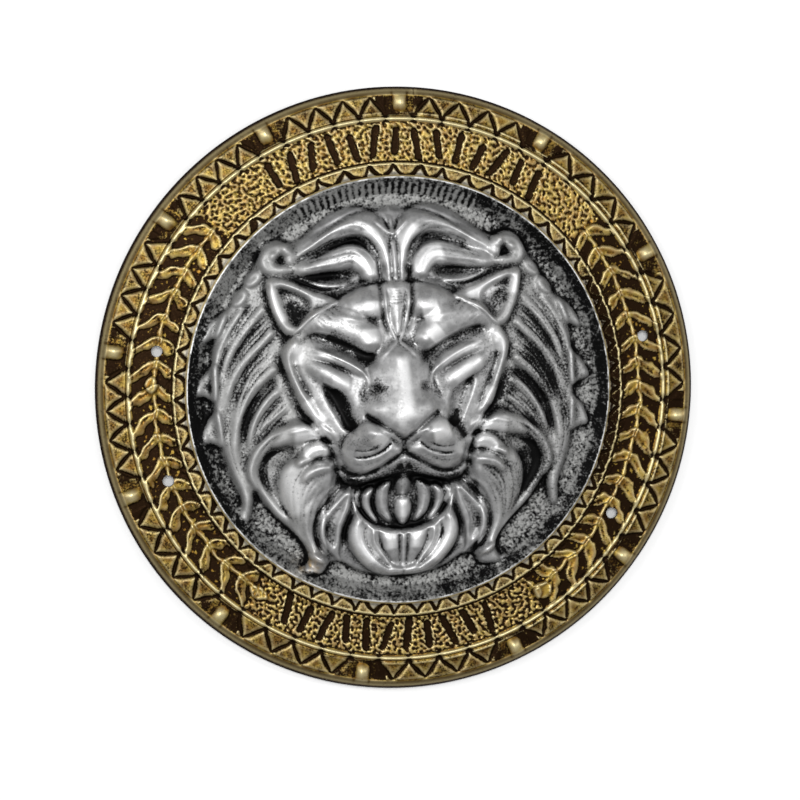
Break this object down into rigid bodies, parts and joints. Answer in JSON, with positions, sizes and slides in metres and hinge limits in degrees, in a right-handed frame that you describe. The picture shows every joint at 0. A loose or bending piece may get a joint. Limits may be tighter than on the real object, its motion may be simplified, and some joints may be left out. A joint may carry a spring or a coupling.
{
  "type": "buckler shield",
  "caption": "Round costume buckler formed in one thin painted sheet: silver lion's head in a dish, gold band of leaves, pebbled panels, studs and zigzags, open strap holes, hollow back.",
  "frame": {"origin": "centre of the rim circle, on the plane that the rim's underside lies on", "axes": "+Z out of the lion's face; +Y towards the top of the shield, above the lion's crown; +X to the right as seen from the front"},
  "size_m": [0.4, 0.3996, 0.0541],
  "materials": {
    "gold_paint": "antique gold paint with a dark brown wash on formed plastic, semi-gloss",
    "silver_paint": "antique silver paint with a black wash on formed plastic, semi-gloss"
  },
  "bodies": {
    "root": {"shield_shell": "gold_paint"}
  },
  "joints": []
}
